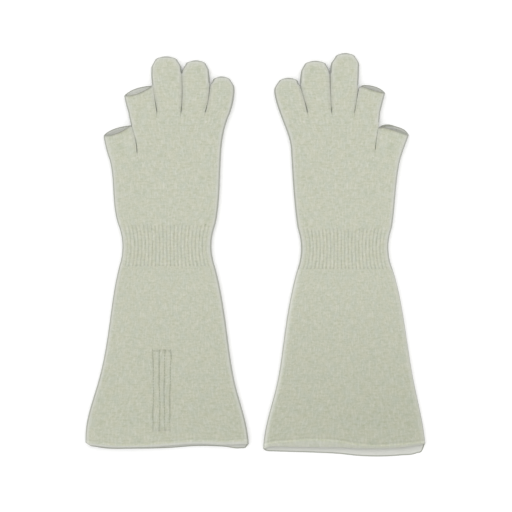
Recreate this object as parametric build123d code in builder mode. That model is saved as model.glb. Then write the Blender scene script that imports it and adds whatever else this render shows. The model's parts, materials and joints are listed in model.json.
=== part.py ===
"""A pair of long knitted gauntlet gloves, lying flat with the palms up.

Each glove is a flattened tube of knitted fabric: a flared cuff with a hem, a ribbed wrist, a palm,
a hand section and five finger tubes. The thumb and the index finger are short and open at the end,
with a bound edge, and the other three are closed by rounded tips. Bands of elastic lie in the
inside of the rib. The left glove has a stitched panel on its cuff, with a tape behind it.

The wrist and every finger bend on a hinge, where the moving end is rounded about the axis.

Frame: +X to the right, +Y towards the fingertips, +Z up. The origin is at the middle of the pair,
on the surface that it lies on. Millimetres throughout.
"""

from build123d import *
import math
import os

# Fabric
thickness = 8.0  # a glove lying flat, over both layers
wall = 1.6  # one layer of knitted fabric
edge_radius = 3.8  # rounding along the folded sides, outside
slit_gap = 0.8  # between two neighbouring fingers
mid_height = thickness / 2
glove_reach = 400.0  # longer and wider than either glove

# Hinges
hinge_radius = mid_height
hinge_offset = hinge_radius + 0.3  # from the fixed end face to the axis

# Bands at the ends of the tubes
tip_length = 12.0
finger_edge_length = 3.0
hem_length = 6.0

# Elastic laid into grooves on the inside of the wrist rib
elastic_count = 5
elastic_pitch = 6.0
elastic_middle = -3.0  # from the middle of the rib, towards the fingertips
elastic_width = 1.6
elastic_depth = 0.5
elastic_clearance = 0.05

# Stitched panel on the cuff of one glove, and the tape behind it
panel_centre = (4.5, -130.5)
panel_rows = 4
panel_row_pitch = 5.5
panel_length = 74.0
stitch_length = 1.8
stitch_pitch = 2.6
stitch_width = 0.6
stitch_height = 0.3
tape_thickness = 0.4
tape_margin = 2.0

# Each glove's outline in its own frame: the first value runs towards the thumb side, the second
# towards the fingertips, and the origin is at the middle of the wrist rib. A piece has its side
# next to the thumb and its side next to the little finger, both from the cuff end up, and what
# lies between them at the far end: corners, or the top of a rounded tip.
gloves = {
    "left": {
        "centre": (-80.15, 7.4),
        "thumb_direction": -1,
        "hem_front": -180.5,
        "cuff": {
            "thumb_side": [(73, -184), (72, -161), (62.5, -126), (53.5, -83), (47.5, -41), (43, -19)],
            "little_side": [(-74, -184), (-71.5, -163), (-62, -127), (-55, -84), (-48.5, -41), (-43.5, -19)],
        },
        "wrist_rib": {
            "thumb_side": [(43, -19), (40, 0), (44, 19.5)],
            "little_side": [(-43.5, -19), (-40.3, -1), (-44, 19.5)],
        },
        "palm": {
            "thumb_side": [(44, 19.5), (46.8, 32), (49, 61), (51.5, 77)],
            "little_side": [(-44, 19.5), (-46.5, 36), (-48.3, 70), (-49, 83.5)],
            "far_corners": [(26.5, 83.5)],
        },
        "hand": {
            "thumb_side": [(26.5, 83.5), (28.2, 96), (32, 108.5), (34.6, 119.8)],
            "little_side": [(-49, 83.5), (-49.8, 93), (-52.5, 107), (-57.2, 119.8)],
        },
        "thumb": {
            "thumb_side": [(51.5, 77), (54.4, 86), (57, 99)],
            "little_side": [(26.5, 83.5), (28.2, 96), (32, 108.5)],
        },
        "index": {
            "thumb_side": [(34.6, 119.8), (36.5, 126.5), (38.4, 135)],
            "little_side": [(8.8, 119.8), (10.7, 132), (12.5, 144.5)],
        },
        "middle": {
            "thumb_side": [(8.8, 119.8), (10.7, 132), (13.8, 150), (14, 158)],
            "little_side": [(-13, 119.8), (-14, 138), (-13.4, 157)],
            "tip": (0.5, 170.3),
        },
        "ring": {
            "thumb_side": [(-13, 119.8), (-14, 138), (-13.4, 154)],
            "little_side": [(-34.8, 119.8), (-37.5, 131.5), (-38.8, 145), (-38.2, 156)],
            "tip": (-26, 166.7),
        },
        "little": {
            "thumb_side": [(-34.8, 119.8), (-37.5, 131.5), (-39, 143)],
            "little_side": [(-57.2, 119.8), (-59.2, 126.5), (-61.1, 139.2)],
            "tip": (-50.5, 152),
        },
    },
    "right": {
        "centre": (80.05, 4.3),
        "thumb_direction": 1,
        "hem_front": -175.5,
        "cuff": {
            "thumb_side": [(73.5, -185), (71, -161), (63.2, -123), (56, -80), (48.5, -37), (43.5, -18.5)],
            "little_side": [(-73.3, -185), (-71.5, -161), (-61.5, -123), (-54.5, -80), (-47.2, -37), (-42.5, -18.5)],
        },
        "wrist_rib": {
            "thumb_side": [(43.5, -18.5), (39.6, -1), (42.7, 19)],
            "little_side": [(-42.5, -18.5), (-39.2, -1), (-42.3, 19)],
        },
        "palm": {
            "thumb_side": [(42.7, 19), (45.2, 40), (47.5, 64), (50.8, 82.5)],
            "little_side": [(-42.3, 19), (-45, 42), (-47.2, 72), (-48.2, 89.5)],
            "far_corners": [(27.5, 89.5)],
        },
        "hand": {
            "thumb_side": [(27.5, 89.5), (28.7, 99), (30.5, 109.3), (32.2, 122.9)],
            "little_side": [(-48.2, 89.5), (-50, 100), (-53.8, 111), (-58.3, 122.9)],
        },
        "thumb": {
            "thumb_side": [(50.8, 82.5), (53.7, 91), (58, 102.5)],
            "little_side": [(27.5, 89.5), (28.7, 99), (30.8, 110.5)],
        },
        "index": {
            "thumb_side": [(32.2, 122.9), (34.4, 132), (36.7, 140.5)],
            "little_side": [(9.1, 122.9), (10.8, 133), (13.5, 148)],
        },
        "middle": {
            "thumb_side": [(9.1, 122.9), (10.8, 133), (12.6, 150), (13.2, 164)],
            "little_side": [(-11.6, 122.9), (-12.6, 142), (-12.8, 163)],
            "tip": (1.5, 176.3),
        },
        "ring": {
            "thumb_side": [(-11.6, 122.9), (-12.6, 142), (-13.3, 158)],
            "little_side": [(-33.4, 122.9), (-36.2, 134.5), (-39.8, 149), (-39.4, 158)],
            "tip": (-26, 169.4),
        },
        "little": {
            "thumb_side": [(-33.4, 122.9), (-36.2, 134.5), (-40.2, 147.5)],
            "little_side": [(-58.3, 122.9), (-61.6, 133), (-63.4, 142)],
            "tip": (-51.5, 153.7),
        },
    },
}
closed_fingers = ("middle", "ring", "little")
open_fingers = ("thumb", "index")
panel_glove = "left"


def in_row(glove, point):
    """A glove's own point in the row frame."""
    centre_x, centre_y = glove["centre"]
    return Vector(centre_x + glove["thumb_direction"] * point[0], centre_y + point[1])


def towards(start, end):
    return (Vector(*end) - Vector(*start)).normalized()


def inset_side(points, across, overrun_near, overrun_far):
    """A side moved across the glove, with its ends run on past the near and far ends."""
    near = Vector(*points[0]) - towards(points[0], points[1]) * overrun_near
    far = Vector(*points[-1]) + towards(points[-2], points[-1]) * overrun_far
    return [(u + across, v) for u, v in [(near.X, near.Y), *points[1:-1], (far.X, far.Y)]]


def fold_edges(part):
    """The edges along the folded sides, top and bottom: those that belong to no flat end face."""
    faces = part.faces()
    level = faces.filter_by(Axis.Z)
    ends = [face for face in faces.filter_by(GeomType.PLANE) if abs(face.normal_at().Z) < 0.5]
    end_edges = [edge for face in ends for edge in face.edges()]
    return [edge for edge in level.edges() if not any(edge.is_same(other) for other in end_edges)]


def filled(glove, piece, inset=0.0):
    """The solid inside a piece's outline, taken in by inset all round but run on past open ends."""
    closed = "tip" in piece
    thumb_side = inset_side(piece["thumb_side"], -inset, inset, 0 if closed else inset)
    little_side = inset_side(piece["little_side"], inset, inset, 0 if closed else inset)
    with BuildPart() as solid:
        with BuildSketch(Plane.XY.offset(inset)):
            with BuildLine():
                Spline(*[in_row(glove, p) for p in thumb_side])
                Spline(*[in_row(glove, p) for p in little_side])
                Line(in_row(glove, thumb_side[0]), in_row(glove, little_side[0]))
                if closed:
                    tip = (piece["tip"][0], piece["tip"][1] - inset)
                    ends = [in_row(glove, p) for p in (thumb_side[-1], tip, little_side[-1])]
                    up = (ends[1] - (ends[0] + ends[2]) / 2).normalized()
                    Spline(*ends, tangents=(up, -up))
                else:
                    corners = [(u, v + inset) for u, v in piece.get("far_corners", [])]
                    Polyline(*[in_row(glove, p) for p in (thumb_side[-1], *corners, little_side[-1])])
            make_face()
        extrude(amount=thickness - 2 * inset)
        fillet(fold_edges(solid), edge_radius - inset)
    return solid.part


def tube(glove, piece, outside=0.0, inside=wall):
    """A piece's fabric, or a layer within it, between two depths from its outer surface."""
    with BuildPart() as layer:
        add(filled(glove, piece, outside))
        add(filled(glove, piece, inside), mode=Mode.SUBTRACT)
    return layer.part


def slit_sides(glove, name):
    """A finger's outline, kept clear of its neighbours along the slits between them."""
    piece = dict(glove[name])
    thumb_gap = 0.0 if name in open_fingers else slit_gap / 2
    little_gap = {"thumb": slit_gap, "little": 0.0}.get(name, slit_gap / 2)
    piece["thumb_side"] = [(u - thumb_gap, v) for u, v in piece["thumb_side"]]
    piece["little_side"] = [(u + little_gap, v) for u, v in piece["little_side"]]
    return piece


def hinge(glove, name):
    """The plane of a finger's or wrist's hinge: its origin on the axis, its X away from the fixed
    part, and its Z along the axis, about which the moving part turns upwards."""
    if name == "wrist":
        ends = [glove["palm"][side][0] for side in ("thumb_side", "little_side")]
        away = Vector(0, -1)
    else:
        ends = [glove[name][side][0] for side in ("thumb_side", "little_side")]
        away = Vector(0, 1)
    first, last = [in_row(glove, p) for p in ends]
    along = (last - first).normalized()
    across = Vector(-along.Y, along.X)
    if across.dot(away) < 0:
        across = -across
    middle = (first + last) / 2 + across * hinge_offset + Vector(0, 0, mid_height)
    return Plane(origin=middle, x_dir=across, z_dir=across.cross(Vector(0, 0, 1)))


def rounded_end(part, hinge_plane):
    """The part with its end at the hinge rounded about the axis."""
    with BuildPart() as rounded:
        add(part)
        with BuildSketch(hinge_plane):
            Circle(hinge_radius)
            with Locations((glove_reach / 2, 0)):
                Rectangle(glove_reach, thickness)
        extrude(amount=glove_reach, both=True, mode=Mode.INTERSECT)
    return rounded.part


def cut_in_two(part, plane):
    """What lies behind a plane, and what lies beyond it."""
    with BuildPart() as behind:
        add(part)
        split(bisect_by=plane, keep=Keep.BOTTOM)
    with BuildPart() as beyond:
        add(part)
        split(bisect_by=plane, keep=Keep.TOP)
    return behind.part, beyond.part


def make_closed_finger(glove, name):
    """A finger tube and the rounded tip that closes it."""
    piece = slit_sides(glove, name)
    hinge_plane = hinge(glove, name)
    finger = rounded_end(tube(glove, piece), hinge_plane)
    tip = in_row(glove, piece["tip"])
    seam = Plane(origin=tip - hinge_plane.x_dir * tip_length, z_dir=hinge_plane.x_dir)
    finger_tube, finger_tip = cut_in_two(finger, seam)
    return {f"{name}_tube": finger_tube, f"{name}_tip": finger_tip}


def make_open_finger(glove, name):
    """A short finger tube and the bound edge round its open end."""
    piece = slit_sides(glove, name)
    finger = rounded_end(tube(glove, piece), hinge(glove, name))
    first, last = [in_row(glove, piece[side][-1]) for side in ("thumb_side", "little_side")]
    along = (last - first).normalized()
    outward = Vector(-along.Y, along.X)
    if outward.Y < 0:
        outward = -outward
    seam = Plane(origin=first - outward * finger_edge_length, z_dir=outward)
    finger_tube, finger_edge = cut_in_two(finger, seam)
    return {f"{name}_tube": finger_tube, f"{name}_edge": finger_edge}


def elastic_bands(glove, layer, extra_width=0.0):
    """What lies of a layer within the width of each band of elastic."""
    centre_x, centre_y = glove["centre"]
    first = elastic_middle - elastic_pitch * (elastic_count - 1) / 2
    bands = [(centre_x, centre_y + first + elastic_pitch * i, mid_height) for i in range(elastic_count)]
    with BuildPart() as within:
        add(layer)
        with BuildPart(mode=Mode.INTERSECT):
            with Locations(*bands):
                Box(glove_reach, elastic_width + extra_width, 2 * thickness)
    return within.part


def make_wrist(glove):
    """The ribbed wrist, grooved on the inside, and the bands of elastic that lie in the grooves."""
    piece = glove["wrist_rib"]
    groove = filled(glove, piece, wall - elastic_depth - elastic_clearance)
    with BuildPart() as rib:
        add(tube(glove, piece))
        add(elastic_bands(glove, groove, 2 * elastic_clearance), mode=Mode.SUBTRACT)
    elastic = elastic_bands(glove, tube(glove, piece, wall - elastic_depth, wall))
    return {"wrist_rib": rounded_end(rib.part, hinge(glove, "wrist")), "wrist_elastic": elastic}


def make_cuff(glove):
    """The flared cuff and its hem, whose lower layer lies further out than its upper one."""
    centre_y = glove["centre"][1]
    seam = Plane(origin=(0, centre_y + glove["hem_front"] + hem_length, 0), z_dir=(0, -1, 0))
    cuff, hem_band = cut_in_two(tube(glove, glove["cuff"]), seam)
    lip = centre_y + glove["hem_front"]
    with BuildPart() as hem:
        add(hem_band)
        with Locations((0, lip, mid_height)):
            Box(
                glove_reach,
                glove_reach,
                thickness,
                align=(Align.CENTER, Align.MAX, Align.MIN),
                mode=Mode.SUBTRACT,
            )
    return {"cuff": cuff, "cuff_hem": hem.part}


def make_panel(glove):
    """Rows of stitches with a bar across each end, and the tape that they hold inside the cuff."""
    centre = in_row(glove, panel_centre)
    width = panel_row_pitch * (panel_rows - 1)
    row_stitches = round(panel_length / stitch_pitch) - 1
    bar_stitches = round(width / stitch_pitch)
    with BuildPart() as stitches:
        with Locations((centre.X, centre.Y, thickness)):
            with GridLocations(panel_row_pitch, stitch_pitch, panel_rows, row_stitches):
                Box(stitch_width, stitch_length, stitch_height, align=(Align.CENTER, Align.CENTER, Align.MIN))
            with GridLocations(stitch_pitch, panel_length, bar_stitches, 2):
                Box(stitch_length, stitch_width, stitch_height, align=(Align.CENTER, Align.CENTER, Align.MIN))
    with BuildPart() as tape:
        with Locations((centre.X, centre.Y, thickness - wall)):
            Box(
                width + 2 * tape_margin,
                panel_length + 2 * tape_margin,
                tape_thickness,
                align=(Align.CENTER, Align.CENTER, Align.MAX),
            )
    return {"cuff_stitches": stitches.part, "cuff_tape": tape.part}


def make_glove(side):
    """Every piece of one glove, by name."""
    glove = gloves[side]
    pieces = {"palm": tube(glove, glove["palm"]), "hand": tube(glove, glove["hand"])}
    pieces.update(make_wrist(glove))
    pieces.update(make_cuff(glove))
    for name in open_fingers:
        pieces.update(make_open_finger(glove, name))
    for name in closed_fingers:
        pieces.update(make_closed_finger(glove, name))
    if side == panel_glove:
        pieces.update(make_panel(glove))
    return {f"{side}_{name}": part for name, part in pieces.items()}


def write_parts():
    os.makedirs("parts", exist_ok=True)
    for side in gloves:
        for name, part in make_glove(side).items():
            part.label = name
            export_step(part, f"parts/{name}.step")


if __name__ == "__main__":
    write_parts()
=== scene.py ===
import json
import math
import random

import bmesh
import bpy
import numpy as np
from mathutils import Matrix, Vector


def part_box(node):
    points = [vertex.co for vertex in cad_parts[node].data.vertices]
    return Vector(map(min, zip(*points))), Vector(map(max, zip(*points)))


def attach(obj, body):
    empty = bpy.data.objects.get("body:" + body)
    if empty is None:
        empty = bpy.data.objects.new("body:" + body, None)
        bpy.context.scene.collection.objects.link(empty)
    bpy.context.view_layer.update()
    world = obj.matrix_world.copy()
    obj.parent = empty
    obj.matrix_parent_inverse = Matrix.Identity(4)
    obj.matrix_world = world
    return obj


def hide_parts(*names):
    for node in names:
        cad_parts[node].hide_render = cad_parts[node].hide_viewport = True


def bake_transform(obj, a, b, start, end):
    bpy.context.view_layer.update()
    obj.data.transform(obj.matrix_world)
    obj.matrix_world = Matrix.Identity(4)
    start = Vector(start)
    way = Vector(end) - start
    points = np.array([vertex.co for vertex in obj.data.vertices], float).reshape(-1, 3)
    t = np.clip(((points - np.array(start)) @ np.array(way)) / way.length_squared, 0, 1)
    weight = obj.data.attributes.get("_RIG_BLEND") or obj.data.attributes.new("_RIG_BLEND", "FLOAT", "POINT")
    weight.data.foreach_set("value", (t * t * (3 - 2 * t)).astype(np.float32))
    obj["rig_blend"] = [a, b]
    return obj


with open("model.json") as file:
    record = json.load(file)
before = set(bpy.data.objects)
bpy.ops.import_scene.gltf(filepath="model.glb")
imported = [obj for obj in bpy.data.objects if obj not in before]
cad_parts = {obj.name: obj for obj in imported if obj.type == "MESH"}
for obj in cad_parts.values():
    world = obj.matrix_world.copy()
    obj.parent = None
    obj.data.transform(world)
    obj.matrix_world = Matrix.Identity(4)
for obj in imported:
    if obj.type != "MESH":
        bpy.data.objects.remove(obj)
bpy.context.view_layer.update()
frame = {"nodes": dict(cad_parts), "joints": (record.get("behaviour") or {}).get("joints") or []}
joints = {joint["name"]: joint for joint in frame["joints"]}
print("frame loaded")

# Lengths are in millimetres, and become metres as each mesh is made.
fabric = {
    "top": 6.9,  # height of the upper layer over the surface the gloves lie on
    "bottom": 0.12,
    "wall": 1.45,  # one layer of knit
    "fullWallAt": 1.2,  # height over the middle plane from which a wall is full
    "leastWall": 0.25,  # share of the wall that is left in a fold
    "edgeRound": 3.4,  # how far in from a fold the surface still rounds over
    "edgeDepth": 0.95,  # share of the height that is lost there
    "foldSteps": 7,
    "fingerColumns": 9,  # between the folds of one finger
    "fingerWales": 20,  # columns of stitches on one finger's upper layer
    "course": 1.1,  # height of a row of stitches
    "fluffWidth": 5.0,  # of the paler band beside a fold: brushed fibres and painted sheen
    "swell": 0.3,  # soft unevenness of the upper layer
}
slits = {
    # where two fingers lie together: the length of the slit after each finger, and how far
    # that finger's sides swell out to meet its neighbours
    "length": {"thumb": 25.0, "index": 25.0, "middle": 36.0, "ring": 27.0, "little": 0.0},
    "close": {"thumb": 0.66, "index": 0.34, "middle": 0.34, "ring": 0.34, "little": 0.34},
    "round": 1.2,  # as edgeRound and edgeDepth, where a slit starts
    "depth": 0.28,
    "pressedRound": 1.5,  # the same where the sides press on each other
    "pressedDepth": 0.36,
    "rise": 18.0,  # length over which the first grows into the second
    "gap": 0.08,  # half the gap at a crotch
    "pucker": 8.0,  # how far a slit's dip runs on below it
    "shade": 0.08,  # soft shading beside a slit
    "fibres": 0.14,  # a paler gap: in part loose fibres that bridge it, in part painted light that lifts its shadow
    "fluff": 0.35,
}
middle = (fabric["top"] + fabric["bottom"]) / 2
hingeHeight = 0.004  # of the plane that the hinges and the outlines lie in, in metres
gloveSigns = {"left": 1, "right": -1}  # from the thumb side to the little finger, along X
fingerNames = ["thumb", "index", "middle", "ring", "little"]
openFingers = fingerNames[:2]
closedFingers = fingerNames[2:]
# where the columns of a fold lie, as shares of its width
foldAt = 1 - np.cos(np.linspace(0, math.pi / 2, fabric["foldSteps"]))


def midEdges(nodeNames):
    # where the middle plane cuts the frame's nodes
    bm = bmesh.new()
    for nodeName in nodeNames:
        bm.from_mesh(frame["nodes"][nodeName].data)
    everything = bm.verts[:] + bm.edges[:] + bm.faces[:]
    at, up = (0, 0, hingeHeight), (0, 0, 1)
    cut = bmesh.ops.bisect_plane(bm, geom=everything, plane_co=at, plane_no=up)
    edges = [e for e in cut["geom_cut"] if isinstance(e, bmesh.types.BMEdge)]
    found = np.array([[v.co[:2] for v in e.verts] for e in edges]) * 1000
    bm.free()
    return found


def sideCurves(nodeNames, origin, along, sign, stations=260):
    # along a direction: the station, and how far across each outer side lies there
    edges = midEdges(nodeNames)
    across = sign * np.array([along[1], -along[0]])
    s, t = (edges - origin) @ along, (edges - origin) @ across
    rows = []
    for station in np.linspace(s.min() + 0.02, s.max() - 0.02, stations):
        hit = (s.min(1) <= station) & (s.max(1) >= station) & (np.abs(s[:, 1] - s[:, 0]) > 1e-7)
        if hit.any():
            part = (station - s[hit, 0]) / (s[hit, 1] - s[hit, 0])
            crossing = t[hit, 0] + part * (t[hit, 1] - t[hit, 0])
            rows.append((station, crossing.min(), crossing.max()))
    return np.array(rows), s.ravel(), t.ravel()


def jointPlace(name):
    # where a hinge's axis is in plan, its direction, and the direction away from the fixed part
    joint = joints[name]
    axis = np.array(joint["axis"][:2])
    return np.array(joint["pos_m"][:2]) * 1000, axis, np.array([-axis[1], axis[0]])


def fingerBase(layout, finger):
    # the middle of the line a finger grows from, and the finger's direction
    place, _, away = jointPlace(f"{layout['side']}_{finger}_flex")
    return place - away * layout["hingeReach"], away


def gloveLayout(side):
    sign = gloveSigns[side]
    palmLow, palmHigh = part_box(f"{side}_palm")
    layout = {
        "side": side,
        "sign": sign,
        "palmBottom": palmLow.y * 1000,
        "palmTop": palmHigh.y * 1000,
        "knuckles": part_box(f"{side}_hand")[1].y * 1000,
        "ribBottom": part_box(f"{side}_wrist_rib")[0].y * 1000,
        "hemFront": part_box(f"{side}_cuff_hem")[1].y * 1000 - hem["band"],
    }
    # how far the hinges' axes lie beyond the seam
    layout["hingeReach"] = jointPlace(f"{side}_middle_flex")[0][1] - layout["knuckles"]
    bodyNames = [f"{side}_{name}" for name in ("cuff", "cuff_hem", "wrist_rib", "palm")]
    zero, up = np.zeros(2), np.array([0.0, 1.0])
    layout["body"] = sideCurves(bodyNames, zero, up, sign)[0]
    layout["hand"] = sideCurves([f"{side}_hand"], zero, up, sign)[0]
    base = fingerBase(layout, "thumb")[0]
    axis = jointPlace(f"{side}_thumb_flex")[1]
    crotch = base + axis * ((layout["palmTop"] - base[1]) / axis[1])
    layout["thumbCorners"] = (2 * base - crotch, crotch)
    corners = [sign * layout["hand"][-1, 1]]
    for finger in fingerNames[1:]:
        corners.append(2 * jointPlace(f"{side}_{finger}_flex")[0][0] - corners[-1])
    layout["corners"] = [np.array([x, layout["knuckles"]]) for x in corners]
    return layout


# The shape of the fabric.


def smooth(x):
    x = np.clip(x, 0, 1)
    return x * x * (3 - 2 * x)


def bell(distance, width):
    return np.exp(-((distance / width) ** 2))


def quarterRound(part):
    return np.sqrt(np.clip(1 - (1 - np.clip(part, 0, 1)) ** 2, 0, 1))


def rise(distance, roundness=fabric["edgeRound"], depth=fabric["edgeDepth"]):
    # share of the full height at a distance in from a fold or slit
    return 1 - depth + depth * quarterRound(distance / roundness)


def laneOffsets(width, roundLeft, roundRight):
    # columns across one finger's width, close together where the fabric folds
    roundLeft, roundRight = min(roundLeft, width * 0.45), min(roundRight, width * 0.45)
    between = np.linspace(roundLeft, width - roundRight, fabric["fingerColumns"] + 2)[1:-1]
    return np.concatenate([roundLeft * foldAt, between, width - roundRight * foldAt[::-1]])


def evenShares(count):
    return np.linspace(0, 1, count + 2)[1:-1]


def bandRows(layout, y, shares):
    # rows of columns across the wrist or cuff, and how far each lies from the nearest fold
    body = layout["body"]
    left, right = (np.interp(y, body[:, 0], body[:, k]) for k in (1, 2))
    first, last = left + fabric["edgeRound"] * foldAt, right - fabric["edgeRound"] * foldAt[::-1]
    core = first[:, -1:] + (last[:, :1] - first[:, -1:]) * shares
    t = np.concatenate([first, core, last], axis=1)
    return left, right, t, np.minimum(t - left, right - t)


def swell(x, y):
    # gentle hills and hollows of fabric that lies loose
    waves = (
        (0.085, 0.031, 0.4, 1.0),
        (-0.041, 0.072, 2.1, 0.9),
        (0.128, -0.094, 4.0, 0.45),
        (0.022, 0.153, 1.3, 0.4),
        (0.201, 0.067, 5.2, 0.25),
    )
    total = sum(size * np.sin(kx * x + ky * y + phase) for kx, ky, phase, size in waves)
    return fabric["swell"] * total / 1.5


def layers(x, y, share, lift=0.0):
    # upper and lower layer's heights, where share is 0 at a fold's middle and 1 on the flat
    upper = middle + (fabric["top"] + swell(x, y) + lift - middle) * share
    lower = middle - (middle - fabric["bottom"]) * share
    return upper, lower


def wallOf(upper, least=fabric["leastWall"]):
    return np.clip((upper - middle) / fabric["fullWallAt"], least, 1)


def fluffAndSheenOf(distance, width=fabric["fluffWidth"]):
    return 1 - smooth(distance / width)


def rimFluffAndSheen(distance, width, most):
    # pale behind a rim, fluff and painted sheen, with a painted shaded line along the rim itself
    return np.minimum(fluffAndSheenOf(distance, width), most) + (1 - most) * fluffAndSheenOf(distance - 0.45, 0.8)


def ringOf(x, y, upper, lower, wales, courses, fluff, wallShare=1.0, lowerY=None, shade=0.0):
    # a tube's rows: along its upper layer, and back along its lower one
    backY = y if lowerY is None else lowerY
    values = np.broadcast_arrays(x, y, upper, backY, lower, wales, courses, fluff, wallShare, shade)
    x, y, upper, backY, lower, wales, courses, fluff, wallShare, shade = values

    def joined(front, back):
        return np.concatenate([front, back[:, ::-1]], axis=1)

    return {
        "place": joined(np.stack([x, y, upper], axis=2), np.stack([x, backY, lower], axis=2)),
        "uv": joined(np.stack([wales, courses], axis=2), np.stack([-wales, courses], axis=2)),
        "fluff": joined(fluff, fluff),
        "shade": joined(shade, shade),
        "wall": joined(wallShare, wallShare),
    }


def rowsOf(ring, rows):
    return {key: values[rows] for key, values in ring.items()}


def newMesh(name, bm):
    mesh = bpy.data.meshes.new(name)
    bm.to_mesh(mesh)
    bm.free()
    return mesh


def softenEdges(bm):
    for f in bm.faces:
        f.smooth = True
    for e in bm.edges:
        e.smooth = not e.is_boundary


def ringMesh(name, ring):
    # a grid, rolled up and closed along the side where its first and last columns meet
    rows, columns = ring["place"].shape[:2]
    bm = bmesh.new()
    bmesh.ops.create_grid(bm, x_segments=columns, y_segments=rows - 1, size=1)
    mesh = newMesh(name, bm)
    flat = np.zeros(len(mesh.vertices) * 3)
    mesh.vertices.foreach_get("co", flat)
    flat = flat.reshape(-1, 3)
    column = np.rint((flat[:, 0] + 1) / 2 * columns).astype(int) % columns
    row = np.rint((flat[:, 1] + 1) / 2 * (rows - 1)).astype(int)
    mesh.vertices.foreach_set("co", (ring["place"][row, column] / 1000).ravel())
    for key in ("fluff", "shade", "wall"):
        mesh.attributes.new(key, "FLOAT", "POINT").data.foreach_set("value", ring[key][row, column])
    corner = np.zeros(len(mesh.loops), int)
    mesh.loops.foreach_get("vertex_index", corner)
    stitches = ring["uv"][row, column][corner].ravel()
    mesh.uv_layers.new(name="stitches").data.foreach_set("uv", stitches)
    bm = bmesh.new()
    bm.from_mesh(mesh)
    bmesh.ops.remove_doubles(bm, verts=bm.verts, dist=2e-6)
    bmesh.ops.recalc_face_normals(bm, faces=bm.faces[:])
    # an open tube has no inside to tell by, so its highest face decides which way is out
    highest = max(bm.faces, key=lambda f: f.calc_center_median().z)
    if highest.normal.z < 0:
        bmesh.ops.reverse_faces(bm, faces=bm.faces[:])
    share, group = bm.verts.layers.float["wall"], bm.verts.layers.deform.new()
    for v in bm.verts:
        v[group][0] = v[share]
    softenEdges(bm)
    bm.to_mesh(mesh)
    bm.free()
    return mesh


def makePiece(name, mesh, materials, wall=None):
    piece = bpy.data.objects.new(name, mesh)
    bpy.context.scene.collection.objects.link(piece)
    for material in materials:
        mesh.materials.append(material)
    if wall:
        piece.vertex_groups.new(name="wall")
        shell = piece.modifiers.new("wall", "SOLIDIFY")
        shell.thickness = wall / 1000
        shell.offset = -1
        shell.vertex_group = "wall"
        shell.use_quality_normals = True
        shell.material_offset = len(materials) - 1
        shell.material_offset_rim = 0
    return piece


def placePiece(piece, node, slot, *bodies):
    # one body to ride, or two bodies and the two points that the bend between them spans
    if len(bodies) == 1:
        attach(piece, bodies[0])
    else:
        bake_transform(piece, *bodies)
    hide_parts(node)


def knitPiece(name, ring, node, slot, *bodies, face=None):
    piece = makePiece(name, ringMesh(name, ring), [face or plainKnit, insideKnit], fabric["wall"])
    placePiece(piece, node, slot, *bodies)


# Materials.
yarn = {
    "tone": (198, 199, 180),
    "darkTone": (177, 182, 155),
    "paleTone": (213, 213, 202),
    "coolTone": (188, 195, 181),
    "fluffTone": (211, 212, 206),
    "foldTone": (150, 153, 140),
    # the inner face is paler than the yarn, in part painted light that lifts the shade seen inside the
    # openings
    "insideTone": (224, 225, 217),
    "cuffShade": (0.83, 0.836, 0.815, 1),
    "marlStrength": 1.12,
    "insideMarlStrength": 0.2,
    # stretch, scale, detail, lowest and highest value taken, seed, tone and share of each layer
    "marl": (
        ((1, 1, 1), 0.12, 3.0, 0.4, 0.64, 31.0, "coolTone", 0.55),
        ((0.16, 0.7, 1), 1.0, 2.0, 0.45, 0.72, 0.0, "darkTone", 0.6),
        ((0.7, 0.17, 1), 1.0, 2.0, 0.48, 0.74, 17.0, "paleTone", 0.6),
        ((0.8, 1, 1), 0.45, 3.0, 0.54, 0.78, 5.0, "darkTone", 0.85),
        ((0.8, 1, 1), 0.5, 3.0, 0.55, 0.79, 47.0, "paleTone", 0.85),
    ),
    "roughness": 0.92,
    "sheen": 0.25,
    "stitchHeight": 0.00022,
}


def rgb(red, green, blue):
    # a colour as a screen shows it, unless it is near black, in the numbers a shader takes
    shown = (red / 255, green / 255, blue / 255)
    return (*(((c + 0.055) / 1.055) ** 2.4 for c in shown), 1)


def addNode(tree, kind, settings=None, inputs=None):
    made = tree.nodes.new(kind)
    for key, value in (settings or {}).items():
        setattr(made, key, value)
    for key, value in (inputs or {}).items():
        if isinstance(value, bpy.types.NodeSocket):
            tree.links.new(value, made.inputs[key])
        else:
            made.inputs[key].default_value = value
    return made


def maths(tree, operation, *values):
    settings = {"operation": operation}
    return addNode(tree, "ShaderNodeMath", settings, dict(enumerate(values))).outputs[0]


def mapRange(tree, value, low, high, toLow=0.0, toHigh=1.0):
    limits = {"From Min": low, "From Max": high, "To Min": toLow, "To Max": toHigh}
    return addNode(tree, "ShaderNodeMapRange", None, {"Value": value, **limits}).outputs[0]


def mixColour(tree, factor, first, second, blend="MIX"):
    settings = {"data_type": "RGBA", "blend_type": blend}
    made = addNode(tree, "ShaderNodeMix", settings, {0: factor, 6: first, 7: second})
    return made.outputs[2]


def attribute(tree, name):
    return addNode(tree, "ShaderNodeAttribute", {"attribute_name": name}).outputs["Fac"]


def newMaterial(name):
    made = bpy.data.materials.new(name)
    made.use_nodes = True
    made.node_tree.nodes.clear()
    return made, made.node_tree


def finishMaterial(tree, colour, relief, strength, height, inputs):
    bumpInputs = {"Strength": strength, "Distance": height, "Height": relief}
    bump = addNode(tree, "ShaderNodeBump", None, bumpInputs).outputs[0]
    inputs = {"Base Color": colour, "Normal": bump, **inputs}
    shader = addNode(tree, "ShaderNodeBsdfPrincipled", None, inputs)
    addNode(tree, "ShaderNodeOutputMaterial", None, {0: shader.outputs[0]})


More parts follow.
